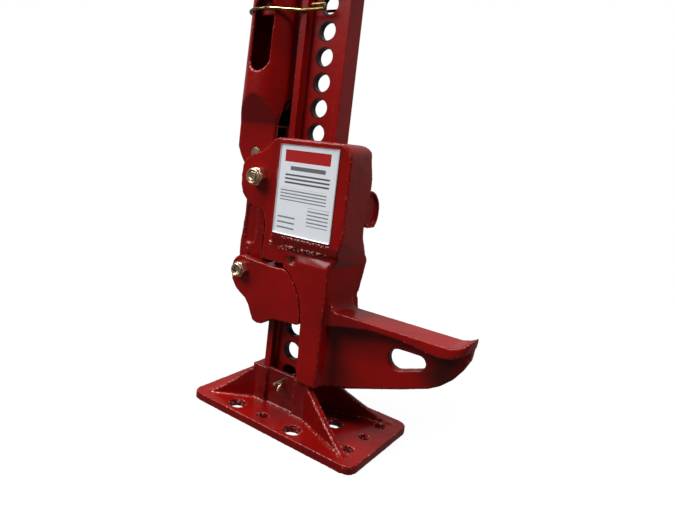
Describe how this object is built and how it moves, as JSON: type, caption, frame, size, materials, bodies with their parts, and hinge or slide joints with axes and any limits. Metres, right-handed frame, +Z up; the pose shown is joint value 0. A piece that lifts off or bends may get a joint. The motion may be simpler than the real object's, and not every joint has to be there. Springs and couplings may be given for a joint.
{
  "type": "high lift jack",
  "caption": "Tall lever jack: two runners with spring-loaded climbing pins climb a perforated I-section bar on a ribbed foot, with a lifting nose, a long handle and a top clamp.",
  "frame": {"origin": "on the bar's axis, at the ground, in the plane of the foot's underside", "axes": "+Z up along the bar, +X towards the lifting nose, +Y along the climbing holes towards the climbing pins' heads"},
  "size_m": [0.2505, 0.1344, 1.231],
  "materials": {
    "red_paint": "glossy enamel over rough castings",
    "zinc_plate": "yellow zinc plate on steel",
    "bright_steel": "oiled machined steel",
    "black_plastic": "moulded plastic"
  },
  "bodies": {
    "frame": {"standard_bar": "red_paint", "foot": "red_paint", "foot_cotter_pin": "zinc_plate", "top_clamp": "red_paint", "clamp_bolt": "zinc_plate", "clamp_nut": "zinc_plate"},
    "large_runner": {"large_runner": "red_paint", "shear_bolt": "zinc_plate", "shear_nut": "zinc_plate", "latch_pin": "zinc_plate", "upper_pin_spring": "bright_steel"},
    "handle": {"handle_socket": "red_paint", "handle_tube": "red_paint", "handle_end_cap": "black_plastic", "handle_clip": "zinc_plate", "socket_pin": "zinc_plate"},
    "small_runner": {"small_runner": "red_paint", "pitman_bolt": "zinc_plate", "pitman_nut": "zinc_plate", "lower_pin_spring": "bright_steel"},
    "pitman": {"pitman": "red_paint"},
    "upper_pin": {"upper_climbing_pin": "bright_steel", "upper_cross_pin": "zinc_plate"},
    "lower_pin": {"lower_climbing_pin": "bright_steel", "lower_cross_pin": "zinc_plate"},
    "latch": {"reversing_latch": "red_paint"}
  },
  "joints": [
    {"name": "lift_slide", "type": "slide", "parent": "frame", "child": "large_runner", "axis": [0, 0, 1], "range_m": [0, 0.8064]},
    {"name": "handle_swing", "type": "hinge", "parent": "large_runner", "child": "handle", "pos_m": [-0.046, 0, 0.21499], "axis": [0, -1, 0], "range_deg": [0, 80]},
    {"name": "small_runner_slide", "type": "slide", "parent": "large_runner", "child": "small_runner", "axis": [0, 0, 1], "range_m": [-0.0316, 0]},
    {"name": "pitman_swing", "type": "hinge", "parent": "small_runner", "child": "pitman", "pos_m": [-0.056, 0, 0.12549], "axis": [0, -1, 0], "range_deg": [0, 6.5]},
    {"name": "upper_pin_slide", "type": "slide", "parent": "large_runner", "child": "upper_pin", "axis": [0, 1, 0], "range_m": [0, 0.0114], "stiffness_N_per_m": 900, "springref_m": -0.008, "deforming": ["upper_pin_spring"]},
    {"name": "lower_pin_slide", "type": "slide", "parent": "small_runner", "child": "lower_pin", "axis": [0, 1, 0], "range_m": [-0.0114, 0], "deforming": ["lower_pin_spring"]},
    {"name": "latch_swing", "type": "hinge", "parent": "large_runner", "child": "latch", "pos_m": [0.038, 0.0255, 0.18912], "axis": [1, 0, 0], "range_deg": [-70, 0]}
  ],
  "couplings": [
    {"joint": "small_runner_slide", "follows": "handle_swing", "m_per_rad": -0.02249},
    {"joint": "pitman_swing", "follows": "handle_swing", "ratio": 0.0789}
  ]
}
